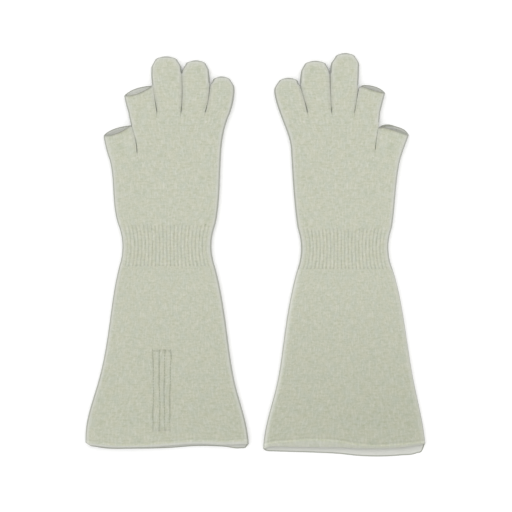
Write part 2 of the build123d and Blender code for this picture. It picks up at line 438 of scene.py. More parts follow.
def knitMaterial(name, inside=False):
    made, tree = newMaterial(name)
    uv = addNode(tree, "ShaderNodeUVMap", {"uv_map": "stitches"}).outputs[0]
    wale, course = addNode(tree, "ShaderNodeSeparateXYZ", None, {0: uv}).outputs[:2]
    # each stitch is a V of two legs
    fromCentre = maths(tree, "ABSOLUTE", maths(tree, "SUBTRACT", maths(tree, "FRACT", wale), 0.5))
    leg = maths(tree, "SINE", maths(tree, "MULTIPLY", fromCentre, 2 * math.pi))
    slant = maths(tree, "ADD", course, maths(tree, "MULTIPLY", fromCentre, 1.3))
    along = maths(tree, "SINE", maths(tree, "MULTIPLY", slant, 2 * math.pi))
    height = maths(tree, "MULTIPLY", leg, maths(tree, "MULTIPLY_ADD", along, 0.38, 0.62))
    # marled yarn: clouds, streaks along the courses and the wales, and specks
    colour = rgb(*yarn["insideTone" if inside else "tone"])
    strength = yarn["insideMarlStrength" if inside else "marlStrength"]
    for stretch, scale, detail, low, high, seed, tone, share in yarn["marl"]:
        inputs = {0: uv, 1: stretch, 2: (seed, seed, 0)}
        at = addNode(tree, "ShaderNodeVectorMath", {"operation": "MULTIPLY_ADD"}, inputs).outputs[0]
        inputs = {"Vector": at, "Scale": scale, "Detail": detail, "Roughness": 0.6}
        noise = addNode(tree, "ShaderNodeTexNoise", None, inputs).outputs[0]
        amount = maths(tree, "MULTIPLY", mapRange(tree, noise, low, high), share * strength)
        colour = mixColour(tree, amount, colour, rgb(*yarn[tone]))
    if not inside:
        # painted shade: the cuffs darken towards the hem, and more towards the right, as if less light fell
        # there
        where = addNode(tree, "ShaderNodeTexCoord").outputs["Object"]
        place = addNode(tree, "ShaderNodeSeparateXYZ", None, {0: where})
        lower = mapRange(tree, place.outputs[1], -0.02, -0.15)
        rightwardShade = mapRange(tree, place.outputs[0], -0.12, 0.12, 0.45, 0.95)
        amount = maths(tree, "MULTIPLY", lower, rightwardShade)
        colour = mixColour(tree, amount, colour, yarn["cuffShade"], "MULTIPLY")
    # paler and greyer near a fold, partly brushed fibres and partly painted sheen, and a painted shaded line
    # along the fold itself
    fluff = attribute(tree, "fluff")
    colour = mixColour(tree, maths(tree, "MULTIPLY", fluff, 0.85), colour, rgb(*yarn["fluffTone"]))
    foldShade = maths(tree, "MULTIPLY", mapRange(tree, fluff, 0.74, 0.93), 0.8)
    colour = mixColour(tree, foldShade, colour, rgb(*yarn["foldTone"]))
    # painted shade between the stitches' legs, with the painted shade and light held in the shade attribute
    unshaded = maths(tree, "SUBTRACT", 1.0, attribute(tree, "shade"))
    light = maths(tree, "MULTIPLY", maths(tree, "MULTIPLY_ADD", height, 0.08, 0.95), unshaded)
    grey = addNode(tree, "ShaderNodeCombineColor", None, {0: light, 1: light, 2: light}).outputs[0]
    colour = mixColour(tree, 1.0, colour, grey, "MULTIPLY")
    fuzz = addNode(tree, "ShaderNodeTexNoise", None, {"Vector": uv, "Scale": 3.5, "Detail": 3.0})
    relief = maths(tree, "MULTIPLY_ADD", fuzz.outputs[0], 0.35, height)
    inputs = {"Roughness": yarn["roughness"], "Sheen Weight": yarn["sheen"], "Sheen Roughness": 0.6}
    inputs["Specular IOR Level"] = 0.25
    finishMaterial(tree, colour, relief, 0.55, yarn["stitchHeight"], inputs)
    return made


def threadMaterial(name, colour, roughness, twist):
    made, tree = newMaterial(name)
    where = addNode(tree, "ShaderNodeTexCoord").outputs["Object"]
    inputs = {"Vector": where, "Scale": twist, "Distortion": 1.5, "Detail": 1.0}
    strands = addNode(tree, "ShaderNodeTexWave", None, inputs)
    dirt = addNode(tree, "ShaderNodeTexNoise", None, {"Vector": where, "Scale": 300.0})
    darker = tuple(c * 0.8 for c in rgb(*colour)[:3]) + (1,)
    tone = mixColour(tree, maths(tree, "MULTIPLY", dirt.outputs[0], 0.5), rgb(*colour), darker)
    inputs = {"Roughness": roughness, "Sheen Weight": 0.15}
    finishMaterial(tree, tone, strands.outputs[1], 0.4, 0.0001, inputs)
    return made


plainKnit = knitMaterial("plainKnit")
ribKnit = knitMaterial("ribKnit")
insideKnit = knitMaterial("insideKnit", inside=True)
stitchThread = threadMaterial("stitchThread", (160, 166, 143), 0.7, 900)
elasticYarn = threadMaterial("elasticYarn", (208, 209, 202), 0.6, 1200)
wovenTape = threadMaterial("wovenTape", (188, 191, 174), 0.85, 1500)
print("materials made")


# The hand and the palm.


def handLanes(layout):
    # each finger's columns along the knuckles, from the thumb side
    corners = [layout["sign"] * corner[0] for corner in layout["corners"]]
    lanes = []
    for k in range(4):
        start = corners[k] + (slits["gap"] if k else 0)
        end = corners[k + 1] - (slits["gap"] if k < 3 else 0)
        roundLeft = slits["round"] if k else fabric["edgeRound"]
        roundRight = slits["round"] if k < 3 else fabric["edgeRound"]
        lanes.append(start + laneOffsets(end - start, roundLeft, roundRight))
    return lanes


def slitRamp(distance, length):
    # roundness and depth of a finger's side, at a distance up from its crotch
    grown, freed = smooth(distance / slits["rise"]), smooth((distance - length + 3) / 7)
    roundness = slits["round"] + (slits["pressedRound"] - slits["round"]) * grown
    depth = slits["depth"] + (slits["pressedDepth"] - slits["depth"]) * grown
    roundness = roundness + (fabric["edgeRound"] - roundness) * freed
    return roundness, depth + (fabric["edgeDepth"] - depth) * freed


def slitFluffAndSheen(distance, length):
    freed = smooth((distance - length + 5) / 6)
    return smooth(distance / 14) * (slits["fluff"] + (1 - slits["fluff"]) * freed)


def makeHand(layout, rows=40):
    side, sign, curve = layout["side"], layout["sign"], layout["hand"]
    lanes = handLanes(layout)
    tops = np.concatenate(lanes)
    share = (tops - tops[0]) / (tops[-1] - tops[0])
    y = np.linspace(layout["palmTop"], layout["knuckles"], rows)[:, None]
    left, right = (np.interp(y, curve[:, 0], curve[:, k]) for k in (1, 2))
    left[0] = sign * layout["thumbCorners"][1][0]
    right[0] = np.interp(layout["palmTop"], layout["body"][:, 0], layout["body"][:, 2])
    t = left + (right - left) * share
    thumbSlit = (y - layout["palmTop"], slits["length"]["thumb"])
    height = rise(t - left, *slitRamp(*thumbSlit)) * rise(right - t)
    fade = np.clip(1 - (layout["knuckles"] - y) / slits["pucker"], 0, 1) ** 2
    start = 0
    for k, lane in enumerate(lanes):
        columns = slice(start, start + len(lane))
        across = t[:, columns]
        inLane = np.ones_like(across)
        if k:
            inLane *= rise(across - across[:, :1], slits["round"], slits["depth"])
        if k < 3:
            inLane *= rise(across[:, -1:] - across, slits["round"], slits["depth"])
        height[:, columns] *= 1 - (1 - inLane) * fade
        start += len(lane)
    upper, lower = layers(sign * t, y, height)
    wales = fabric["fingerWales"] * (1 + 4 * share)
    fluff = np.maximum(fluffAndSheenOf(t - left) * slitFluffAndSheen(*thumbSlit), fluffAndSheenOf(right - t))
    courses = y / fabric["course"]
    ring = ringOf(sign * t, y, upper, lower, wales, courses, fluff, wallOf(upper))
    layout["handShare"], layout["handEdges"] = share, (left[0, 0], right[0, 0])
    knitPiece(f"{side}Hand", ring, f"{side}_hand", "plain_knit", f"{side}_glove")


def makePalm(layout, rows=64):
    side, sign, body = layout["side"], layout["sign"], layout["body"]
    low, high = layout["palmBottom"], layout["palmTop"]
    outer, crotch = (corner * (sign, 1) for corner in layout["thumbCorners"])
    thumbWidth = np.linalg.norm(crotch - outer)
    offsets = laneOffsets(thumbWidth - slits["gap"] * 2, fabric["edgeRound"], slits["round"])
    thumbTop = outer + (crotch - outer) / thumbWidth * offsets[:, None]
    handLeft, handRight = layout["handEdges"]
    handTop = handLeft + (handRight - handLeft) * layout["handShare"]
    top = np.concatenate([thumbTop, np.stack([handTop, np.full(len(handTop), high)], axis=1)])
    travelled = np.concatenate([[0], np.cumsum(np.linalg.norm(np.diff(top, axis=0), axis=1))])
    share = travelled / travelled[-1]
    first, last = (np.interp(low, body[:, 0], body[:, k]) for k in (1, 2))
    bottom = np.stack([first + (last - first) * share, np.full(len(share), low)], axis=1)
    b = np.linspace(0, 1, rows)[:, None, None]
    place = bottom * (1 - b) + top * b
    # the outer columns follow the glove's sides, and the ones between follow them in part
    for k, end, weight in ((1, 0, 1 - share), (2, -1, share)):
        line = bottom[end] + (top[end] - bottom[end]) * b[:, 0]
        bow = np.interp(line[:, 1], body[:, 0], body[:, k]) - line[:, 0]
        bow[-1] = 0
        place[:, :, 0] += bow[:, None] * weight
    x, y = sign * place[:, :, 0], place[:, :, 1]
    fromLeft = np.linalg.norm(place - place[:, :1], axis=2)
    fromRight = np.linalg.norm(place - place[:, -1:], axis=2)
    fade = np.clip(1 - np.linalg.norm(place - top, axis=2) / slits["pucker"], 0, 1) ** 2
    split = len(thumbTop)
    crotchColumn = np.where(np.arange(len(share)) < split, split - 1, split)
    fromCrotch = np.linalg.norm(place - place[:, crotchColumn], axis=2)
    height = rise(fromLeft) * rise(fromRight)
    height = height * (1 - (1 - rise(fromCrotch, slits["round"], slits["depth"])) * fade)
    upper, lower = layers(x, y, height)
    courses = np.linspace(low, high, rows)[:, None] / fabric["course"]
    fluff = np.maximum(fluffAndSheenOf(fromLeft), fluffAndSheenOf(fromRight))
    wales = 5 * fabric["fingerWales"] * share
    ring = ringOf(x, y, upper, lower, wales, courses, fluff, wallOf(upper))
    knitPiece(f"{side}Palm", ring, f"{side}_palm", "plain_knit", f"{side}_glove")


# The fingers.
fingers = {
    "crown": 0.7,  # how much a finger's middle stands above its sides
    "leastWall": 0.2,
    "slitShadeAt": 1.2,
    "slitShadeWidth": 0.9,
    "fibresWidth": 0.6,
}
tips = {
    "length": 12.0,  # from the seam between a tube and its closed tip
    "end": 3.5,  # length of the rounded end
    "lineFrom": 8.0,  # how far back the finger's own line is taken from
    "fall": 5.0,  # length over which the two layers close on each other
    "point": 0.35,  # how much further the tip reaches at its middle
    "pointLength": 6.0,
    "pinch": 1.3,  # how far the shoulders draw in
    "pinchLength": 9.0,
    "shade": 0.16,  # painted shade along the line where the tip folds over
    "bendLength": 18.0,
}
openEnds = {
    # the middle of the upper layer's edge is pulled back, and the lower one's stands out;
    # inside is painted shade on the lower layer's inner face, seen through the opening
    "left_thumb": {"pulledBack": 2.5, "standsOut": 2.7, "cornerCut": 0.0, "inside": 0.22},
    "left_index": {"pulledBack": 2.7, "standsOut": 3.1, "cornerCut": 0.0, "inside": 0.09},
    "right_thumb": {"pulledBack": -0.4, "standsOut": 4.8, "cornerCut": 2.4, "inside": 0.32},
    "right_index": {"pulledBack": 1.0, "standsOut": 3.4, "cornerCut": 2.2, "inside": 0.24},
}
rim = {
    "round": 0.75,
    "roll": 0.28,
    "rollAt": 1.0,
    "rollWidth": 0.7,
    "groove": 0.16,
    "grooveAt": 2.3,
    "grooveWidth": 0.5,
    "band": 3.0,  # length of the edge piece
    "leastWall": 0.06,
    # shade and shadeWidth: painted shadow along the upper layer's rim of an open end
    "shade": 0.5,
    "shadeWidth": 1.2,
    "flare": 0.5,  # how much the upper layer lifts towards the rim
    "bendLength": 14.0,
}
plainEnd = {
    # how a finger's end departs from a straight tube, row by row
    "share": 1.0,
    "pulledBack": 0.0,
    "standsOut": 0.0,
    "lift": 0.0,
    "wall": 1.0,
    "shade": 0.0,
    "cornerCut": 0.0,
    "point": 0.0,
}


def rimProfile(distance):
    # the bound edge's drop at the rim, its roll, and what is left of the wall
    curve = quarterRound(distance / rim["round"])
    roll = rim["roll"] * bell(distance - rim["rollAt"], rim["rollWidth"])
    groove = rim["groove"] * bell(distance - rim["grooveAt"], rim["grooveWidth"])
    return (1 - curve) * fabric["wall"] / 2, roll - groove, np.clip(curve, rim["leastWall"], 1)


def rimStations(length):
    # rows from the far side of a band to its rim, closer together at the rim
    near = np.array([0, 0.06, 0.2, 0.42, 0.7, 1.0, 1.35, 1.75, 2.1, 2.5])
    return length - np.concatenate([[rim["band"]], near[::-1]])


def fingerLines(layout, finger, nodeNames):
    # a finger's directions, its length, and where its two sides run
    base, away = fingerBase(layout, finger)
    rows, s, t = sideCurves(nodeNames, base, away, layout["sign"])
    across = layout["sign"] * np.array([away[1], -away[0]])
    k = fingerNames.index(finger)
    corners = layout["corners"][k - 1 : k + 1] if k else layout["thumbCorners"]
    ends = [(corner - base) @ across for corner in corners]
    hasSlit = (finger not in openFingers, finger != "little")
    ends[0] += slits["gap"] * hasSlit[0]
    ends[1] -= slits["gap"] * hasSlit[1] * (1 if k else 2)

    def sideAt(station, k):
        found = np.interp(station, rows[:, 0], rows[:, k + 1])
        settle = np.clip(1 - station / 8, 0, 1) ** 2
        spread = (-1, 1)[k] * slits["close"][finger] * hasSlit[k]
        return found + (ends[k] - rows[0][k + 1]) * settle + spread * smooth(station / 8)

    return {
        "base": base,
        "away": away,
        "across": across,
        "hasSlit": hasSlit,
        "sideAt": sideAt,
        "length": s.max(),
        "sideLengths": (s[np.argmax(s - t)], s[np.argmax(s + t)]),
    }


def slitSoftness(distance):
    # painted shade beside a slit, and paler fibres and painted light in its gap
    shade = slits["shade"] * bell(distance - fingers["slitShadeAt"], fingers["slitShadeWidth"])
    return shade - slits["fibres"] * bell(distance, fingers["fibresWidth"])


def fingerRow(lines, start, end, stations, lengths):
    # one row across a finger: place, height, fluff, share of the width, and shade
    width = np.linalg.norm(end - start)
    sides = list(zip(lines["hasSlit"], stations, lengths))
    full = (fabric["edgeRound"], fabric["edgeDepth"])
    roundness, depth = zip(*[slitRamp(at, length) if slit else full for slit, at, length in sides])
    if width < 0.01:
        offsets = np.zeros(2 * fabric["foldSteps"] + fabric["fingerColumns"])
        share = np.linspace(0, 1, len(offsets))
        height = np.ones(len(offsets))
    else:
        offsets = laneOffsets(width, *roundness)
        share = offsets / width
        limits = [min(r, width * 0.45) for r in roundness]
        height = rise(offsets, limits[0], depth[0]) * rise(width - offsets, limits[1], depth[1])
    fluffAndSheenParts, shade = [], np.zeros(len(offsets))
    for (slit, at, length), distance in zip(sides, (offsets, width - offsets)):
        fluffAndSheenParts.append(fluffAndSheenOf(distance) * (slitFluffAndSheen(at, length) if slit else 1.0))
        pressed = slit * smooth(at / 6) * (1 - smooth((at - length + 3) / 6))
        shade = shade + pressed * slitSoftness(distance)
    return start + (end - start) * share[:, None], height, np.maximum(*fluffAndSheenParts), share, shade


def fingerRing(layout, finger, lines, sides, stations, fromTip=None, **shape):
    end = {key: np.reshape(value, (-1, 1)) for key, value in {**plainEnd, **shape}.items()}
    k = fingerNames.index(finger)
    lengths = [slits["length"][name] for name in (fingerNames[max(k - 1, 0)], finger)]
    away = lines["away"]
    rows = []
    for left, right, *at in zip(*sides, *stations):
        places = [lines["base"] + away * a + lines["across"] * t for a, t in zip(at, (left, right))]
        rows.append(fingerRow(lines, *places, at, lengths))
    place, height, fluff, share, shade = (np.array(values) for values in zip(*rows))
    mean = (np.array(stations[0]) + np.array(stations[1]))[:, None] / 2
    bow = 4 * share * (1 - share)
    x, y = place[:, :, 0], place[:, :, 1]
    lift = fingers["crown"] * bow * smooth(mean / 12) + end["lift"] * bow**0.5
    upper, lower = layers(x, y, height * end["share"], lift)
    skewed = share**0.7
    front, back = -end["pulledBack"] * bow, end["standsOut"] * 4 * skewed * (1 - skewed)
    cut = end["cornerCut"] * np.clip((share - 0.82) / 0.18, 0, 1) ** 2
    shade = shade + end["shade"] * smooth(4 * bow)
    if fromTip is not None:
        # a closed tip is pointed, and its pale band of fluff and painted sheen and its painted shaded line
        # turn round it
        toEnd = np.reshape(fromTip, (-1, 1))
        y = y + end["point"] * (1 - (1 - bow**1.5) * np.clip(toEnd / 0.6, 0, 1))
        toEnd = toEnd + 0.01
        width = np.linalg.norm(place[:, -1] - place[:, 0], axis=1)[:, None]
        nearest = (toEnd**-2 + (np.minimum(share, 1 - share) * width + 0.01) ** -2) ** -0.5
        fluff = np.maximum(fluff, fluffAndSheenOf(nearest) * smooth((10 - toEnd) / 5))
        shade = shade + tips["shade"] * bell(nearest, 1.0)
    start = layout["knuckles"] if k else layout["palmTop"]
    courses = (start + mean) / fabric["course"]
    wales = fabric["fingerWales"] * (k + share)
    wall = wallOf(upper, fingers["leastWall"]) * end["wall"]
    frontX, frontY = x + away[0] * (front - cut), y + away[1] * (front - cut)
    ring = ringOf(frontX, frontY, upper, lower, wales, courses, fluff, wall, shade=shade)
    columns = x.shape[1]
    ring["place"][:, columns:, 0] = (x + away[0] * (back - cut))[:, ::-1]
    ring["place"][:, columns:, 1] = (y + away[1] * (back - cut))[:, ::-1]
    ring["shade"][:, columns:] = 0
    return ring


def placeFinger(layout, finger, ring, seam, endPart, endSlot, bendLength):
    side = layout["side"]
    base, away = fingerBase(layout, finger)
    points = [(*place / 1000, hingeHeight) for place in (base, base + away * bendLength)]
    name, node = f"{side}{finger.capitalize()}", f"{side}_{finger}"
    tube, tip = rowsOf(ring, slice(0, seam + 1)), rowsOf(ring, slice(seam, None))
    knitPiece(f"{name}Tube", tube, f"{node}_tube", "plain_knit", f"{side}_glove", node, *points)
    knitPiece(f"{name}{endPart.capitalize()}", tip, f"{node}_{endPart}", endSlot, node)


def makeClosedFinger(layout, finger):
    side = layout["side"]
    lines = fingerLines(layout, finger, [f"{side}_{finger}_tube", f"{side}_{finger}_tip"])
    length = lines["length"]
    tipStart, roundFrom = length - tips["length"], length - tips["lineFrom"]
    straight = np.arange(0, tipStart, 1.0)
    turn = np.sin(np.linspace(0, math.pi / 2, 17)[1:])
    shoulders = tipStart + (tips["length"] - tips["lineFrom"]) * np.linspace(0, 1, 5)
    stations = np.concatenate([straight, shoulders, roundFrom + tips["lineFrom"] * turn])
    fromTip = length - stations
    pinch = np.sin(np.pi * np.clip(fromTip / tips["pinchLength"], 0, 1) ** 0.75)
    left = lines["sideAt"](stations, 0) + tips["pinch"] * pinch
    right = lines["sideAt"](stations, 1) - tips["pinch"] * pinch
    # the very end is half an ellipse about the finger's own line
    end = tips["end"]
    halfWidth = np.interp(length - end, stations, right - left) / 2
    centre, lineBelow = (
        np.interp(length - d, stations, left + right) / 2 for d in (end, tips["lineFrom"])
    )
    line = centre + (centre - lineBelow) / (tips["lineFrom"] - end) * (end - fromTip) / 2
    half = halfWidth * quarterRound(fromTip / end)
    left, right = np.where(fromTip < end, (line - half, line + half), (left, right))
    shape = {
        "share": quarterRound(fromTip / tips["fall"]),
        "point": tips["point"] * smooth(1 - fromTip / tips["pointLength"]),
    }
    bothStations = (stations, stations)
    ring = fingerRing(layout, finger, lines, (left, right), bothStations, fromTip, **shape)
    placeFinger(layout, finger, ring, len(straight), "tip", "plain_knit", tips["bendLength"])


def makeOpenFinger(layout, finger):
    side = layout["side"]
    lines = fingerLines(layout, finger, [f"{side}_{finger}_tube", f"{side}_{finger}_edge"])
    length = sum(lines["sideLengths"]) / 2
    tube = np.arange(0, length - rim["band"], 0.8)
    stations = np.concatenate([tube, rimStations(length)])
    toRim, part = length - stations, stations / length
    bothStations = [part * sideLength for sideLength in lines["sideLengths"]]
    sides = [lines["sideAt"](at, k) for k, at in enumerate(bothStations)]
    drop, roll, wallLeft = rimProfile(toRim)
    look = openEnds[f"{side}_{finger}"]
    grow = smooth((part - 0.35) / 0.65)
    shape = {
        "pulledBack": look["pulledBack"] * grow,
        "standsOut": look["standsOut"] * grow,
        "lift": roll + rim["flare"] * smooth((part - 0.5) / 0.5),
        "wall": wallLeft,
        "shade": rim["shade"] * bell(toRim, rim["shadeWidth"]),
        "cornerCut": look["cornerCut"] * smooth(1 - toRim / 6),
    }
    ring = fingerRing(layout, finger, lines, sides, bothStations, **shape)
    columns = ring["place"].shape[1] // 2
    # the lower layer's rim stands out beyond the upper one, pale with a painted shaded line, and painted
    # shade on it inside the opening
    behind = ring["fluff"][:, columns:]
    ring["fluff"][:, columns:] = np.maximum(behind, rimFluffAndSheen(toRim, 6, 0.7)[:, None])
    ring["shade"][:, columns:] = (look["inside"] * grow * smooth((toRim + 0.6) / 3.5))[:, None]
    ring["place"][:, :columns, 2] -= drop[:, None]
    ring["place"][:, columns:, 2] += drop[:, None]
    placeFinger(layout, finger, ring, len(tube), "edge", "edge_knit", rim["bendLength"])


# The wrist.
rib = {
    "rows": 58,
    "ribs": 25,
    "perRib": 9,  # columns
    "walesPerRib": 4,
    "height": 0.5,
    "shade": 0.25,
    "dash": 0.16,  # short dark strokes where the ribs start
    "bendLength": 24.0,
}
elastic = {
    "bands": 5,
    "pitch": 6.0,
    "width": 1.6,
    "thickness": 0.4,
    "inset": 1.75,
    "height": 0.42,  # share of the outer layer's height
}


def wristBend(layout):
    side, high = layout["side"], layout["palmBottom"]
    heights = (high / 1000, (high - rib["bendLength"]) / 1000)
    return f"{side}_glove", f"{side}_cuff", *((0, y, hingeHeight) for y in heights)


def makeRib(layout):
    side, sign = layout["side"], layout["sign"]
    low, high = layout["ribBottom"], layout["palmBottom"]
    y = np.linspace(low, high, rib["rows"])[:, None]
    left, right, t, fromSide = bandRows(layout, y, evenShares(rib["ribs"] * rib["perRib"]))
    wales = rib["ribs"] * rib["walesPerRib"] * (t - left) / (right - left)
    valley = 1 - (0.5 + 0.5 * np.cos(2 * np.pi * wales / rib["walesPerRib"])) ** 0.6
    raggedTop = 2.2 + 1.6 * np.sin(wales * 1.7) * np.sin(wales * 0.31 + 2)
    sideFade = smooth((fromSide - 1.0) / 7.0)
    fade = smooth((y - low) / 1.8) * smooth((high - y) / raggedTop) * sideFade
    upper, lower = layers(sign * t, y, rise(fromSide))
    upper, lower = upper - rib["height"] * valley * fade, lower + rib["height"] * valley * fade
    uneven = 0.75 + 0.25 * np.sin(wales * 0.9 + y * 0.35) * np.sin(wales * 0.23 + 1)
    # painted shade in the valleys between the ribs, and painted light on their crests
    shade = rib["shade"] * (valley**1.8 * uneven - 0.16) * fade
    shade = shade + rib["dash"] * bell(y - low - 1.2, 0.8) * valley * sideFade
    courses = y / fabric["course"]
    ring = ringOf(sign * t, y, upper, lower, wales, courses, fluffAndSheenOf(fromSide), shade=shade)
    node = f"{side}_wrist_rib"
    knitPiece(f"{side}WristRib", ring, node, "rib_knit", *wristBend(layout), face=ribKnit)


def makeElastic(layout):
    # flat bands laid against the inside of the rib
    side, sign = layout["side"], layout["sign"]
    lowest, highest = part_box(f"{side}_wrist_elastic")
    centre = (lowest.y + highest.y) / 2 * 1000
    name = f"{side}WristElastic"
    bm = bmesh.new()
    for i in range(elastic["bands"]):
        bandAt = centre + elastic["pitch"] * (i - (elastic["bands"] - 1) / 2)
        y = bandAt + np.linspace(-0.5, 0.5, 4)[:, None] * elastic["width"]
        left, right, t, fromSide = bandRows(layout, y, evenShares(30))
        narrower = 1 - 2 * elastic["inset"] / (right - left)
        x = sign * (left + elastic["inset"] + (t - left) * narrower)
        heights = layers(sign * t, y, rise(fromSide))
        upper, lower = (middle + (height - middle) * elastic["height"] for height in heights)
        band = ringMesh(name + "Band", ringOf(x, y, upper, lower, t, y, 0.0))
        bm.from_mesh(band)
        bpy.data.meshes.remove(band)
    softenEdges(bm)
    piece = makePiece(name, newMesh(name, bm), [elasticYarn], elastic["thickness"])
    placePiece(piece, f"{side}_wrist_elastic", "elastic", *wristBend(layout))


# The cuff, its hem and the stitched panel.
hem = {
    "band": 6.0,  # from the cuff's seam to the hem's middle
    "rollFrom": 3.0,  # where the hem starts to roll over, before its middle
    "ridge": 0.5,
    "ridgeWidth": 0.8,
    "drop": 1.3,
    "lift": 0.9,  # how much the upper layer lifts over the last stretch
    "liftLength": 25.0,
    "backFluff": (14, 0.73),  # width and strength of the pale band inside the lower layer, partly painted light that lifts its shade
}
cuffs = {
    # Where the hem rolls over, its front edge and its back edge, from the glove's left end to its
    # right: share of the width, and height from the hem's middle. sideFluff: thumb's side first.
    "left": {
        "pale": 0.7,
        "line": 0.15,
        "ridgeLight": 0.13,
        "ridgeShade": 0.02,
        "sideFluff": (1.0, 1.0),
        "sideLight": 0.0,
        "ridge": [(0, 4.4), (0.06, 2.8), (0.32, 0.9), (0.5, 3.0), (0.68, 4.7), (0.85, 4.3), (1, 5.2)],
        "front": [
            (0, 3.2), (0.02, 1.2), (0.06, 0.2), (0.32, -1.3), (0.5, 0.0),
            (0.68, 1.9), (0.85, 0.9), (1, 1.8),
        ],
        "back": [
            (0, 3.2), (0.02, 0.2), (0.06, -1.3), (0.32, -2.9), (0.5, -2.4),
            (0.68, -0.6), (0.85, -1.2), (0.95, -2.6), (0.985, -1.4), (1, 1.8),
        ],
    },
    "right": {
        "pale": 0.3,
        "line": 0.0,
        "ridgeLight": 0.2,
        "ridgeShade": 0.07,
        "sideFluff": (0.3, 0.73),
        "sideLight": 0.12,
        "ridge": [
            (0, -1.0), (0.05, 1.0), (0.14, 2.2), (0.32, 4.0), (0.47, 2.1),
            (0.58, -0.4), (0.7, -1.8), (0.85, -0.3), (1, 1.8),
        ],
        "front": [
            (0, -4.4), (0.03, -2.9), (0.14, -2.6), (0.32, -3.0), (0.47, -3.1),
            (0.58, -3.9), (0.7, -4.3), (0.85, -3.2), (1, 0.4),
        ],
        "back": [
            (0, -4.4), (0.008, -5.8), (0.025, -6.9), (0.06, -7.2), (0.14, -7.6), (0.32, -8.4),
            (0.47, -9.5), (0.58, -11.2), (0.7, -11.9), (0.85, -10.9), (0.95, -8.9),
            (0.985, -6.0), (1, 0.4),
        ],
    },
}
panel = {
    "rowsAt": [-7.6, -1.9, 2.6, 7.6],  # from the panel's middle
    "kink": 1.2,
    "shade": 0.19,
    "rubbed": 0.07,
    "groove": 0.42,
    "grooveWidth": 0.75,
    "puff": 0.27,
    "stitch": 1.9,
    "stitchPitch": 2.6,
    "thread": 0.34,
}
tape = {"thickness": 0.0004, "gap": 0.35}  # the thickness in metres


def hemCurve(points, share):
    # smooth curve through the hem's points
    px, py = np.array(points).T
    slope = np.gradient(py, px)
    k = np.clip(np.searchsorted(px, share, side="right") - 1, 0, len(px) - 2)
    h = px[k + 1] - px[k]
    u = (share - px[k]) / h
    a, b = 2 * u**3 - 3 * u**2 + 1, u**3 - 2 * u**2 + u
    c, d = -2 * u**3 + 3 * u**2, u**3 - u**2
    return a * py[k] + b * h * slope[k] + c * py[k + 1] + d * h * slope[k + 1]


def panelLayout():
    low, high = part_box("left_cuff_stitches")
    centre, size = (low + high) * 500, (high - low) * 1000
    return centre.x, centre.y, size.y - panel["stitch"]


panelX, panelY, panelLength = panelLayout()


def rowLine(i, y):
    # a row of stitches isn't quite straight, and the last one has a kink near its top
    kink = panel["kink"] * bell(y - panelY - panelLength / 2 + 6, 5) * (i == 3)
    waver = 0.3 * np.sin(y / 11 + 1.7 * i) + 0.15 * np.sin(y / 4.3 + i)
    return panelX + panel["rowsAt"][i] + waver + kink


def barLine(end, x):
    # the short rows that close the panel are less straight still
    return panelY + end * (panelLength / 2 + 0.6 * np.cos((x - panelX) * 0.62) - 0.4)


def panelRows(x, y):
    # how near a point is to a row of stitches, from 0 to 1, and whether it is on the panel
    width = panel["rowsAt"][-1] - panel["rowsAt"][0]
    within = smooth((panelLength / 2 + 1.5 - np.abs(y - panelY)) / 3)
    across = smooth((width / 2 + 1.5 - np.abs(x - panelX)) / 3)
    near = sum(bell(x - rowLine(i, y), panel["grooveWidth"]) * within for i in range(4))
    for end in (-1, 1):
        near = near + 0.8 * bell(y - barLine(end, x), panel["grooveWidth"]) * across
    return near, within * smooth((width / 2 + 4 - np.abs(x - panelX)) / 6)


def panelRelief(x, y):
    near, inside = panelRows(x, y)
    ripple = 0.11 * np.sin(y / 3.4 + 0.8 * np.sin(x / 3)) + 0.1 * np.sin(y / 8.5 + 1)
    return inside * (panel["puff"] + ripple) - panel["groove"] * near


def panelShade(x, y):
    # painted shade in the rows' grooves, broken in places and always at their ends, and a soft darker band
    # across the panel
    broken = 0.5 + 0.7 * np.sin(y / 1.5 + x) * np.sin(y / 4.3 + 2 * x) + 0.45 * np.sin(y / 8 + x / 3)
    atEnds = bell(np.abs(y - panelY) - panelLength / 2, 2.5)
    near, inPanel = panelRows(x, y)
    rubbed = bell(y - panelY + 4.5, 1.1) * np.clip(0.4 + np.sin(1.3 * x + 1), 0, 1) * inPanel
    dark = near * np.clip(np.maximum(broken, atEnds), 0.1, 1.3)
    return panel["shade"] * dark + panel["rubbed"] * rubbed


def cuffShares(layout):
    # even columns, closer together across the stitched panel
    if layout["side"] == "right":
        return 1 - evenShares(110)[::-1]
    spans = ((0, 0.36, 40), (0.36, 0.57, 56), (0.57, 1, 46))
    return np.concatenate([np.linspace(*span)[1:] for span in spans])[:-1]


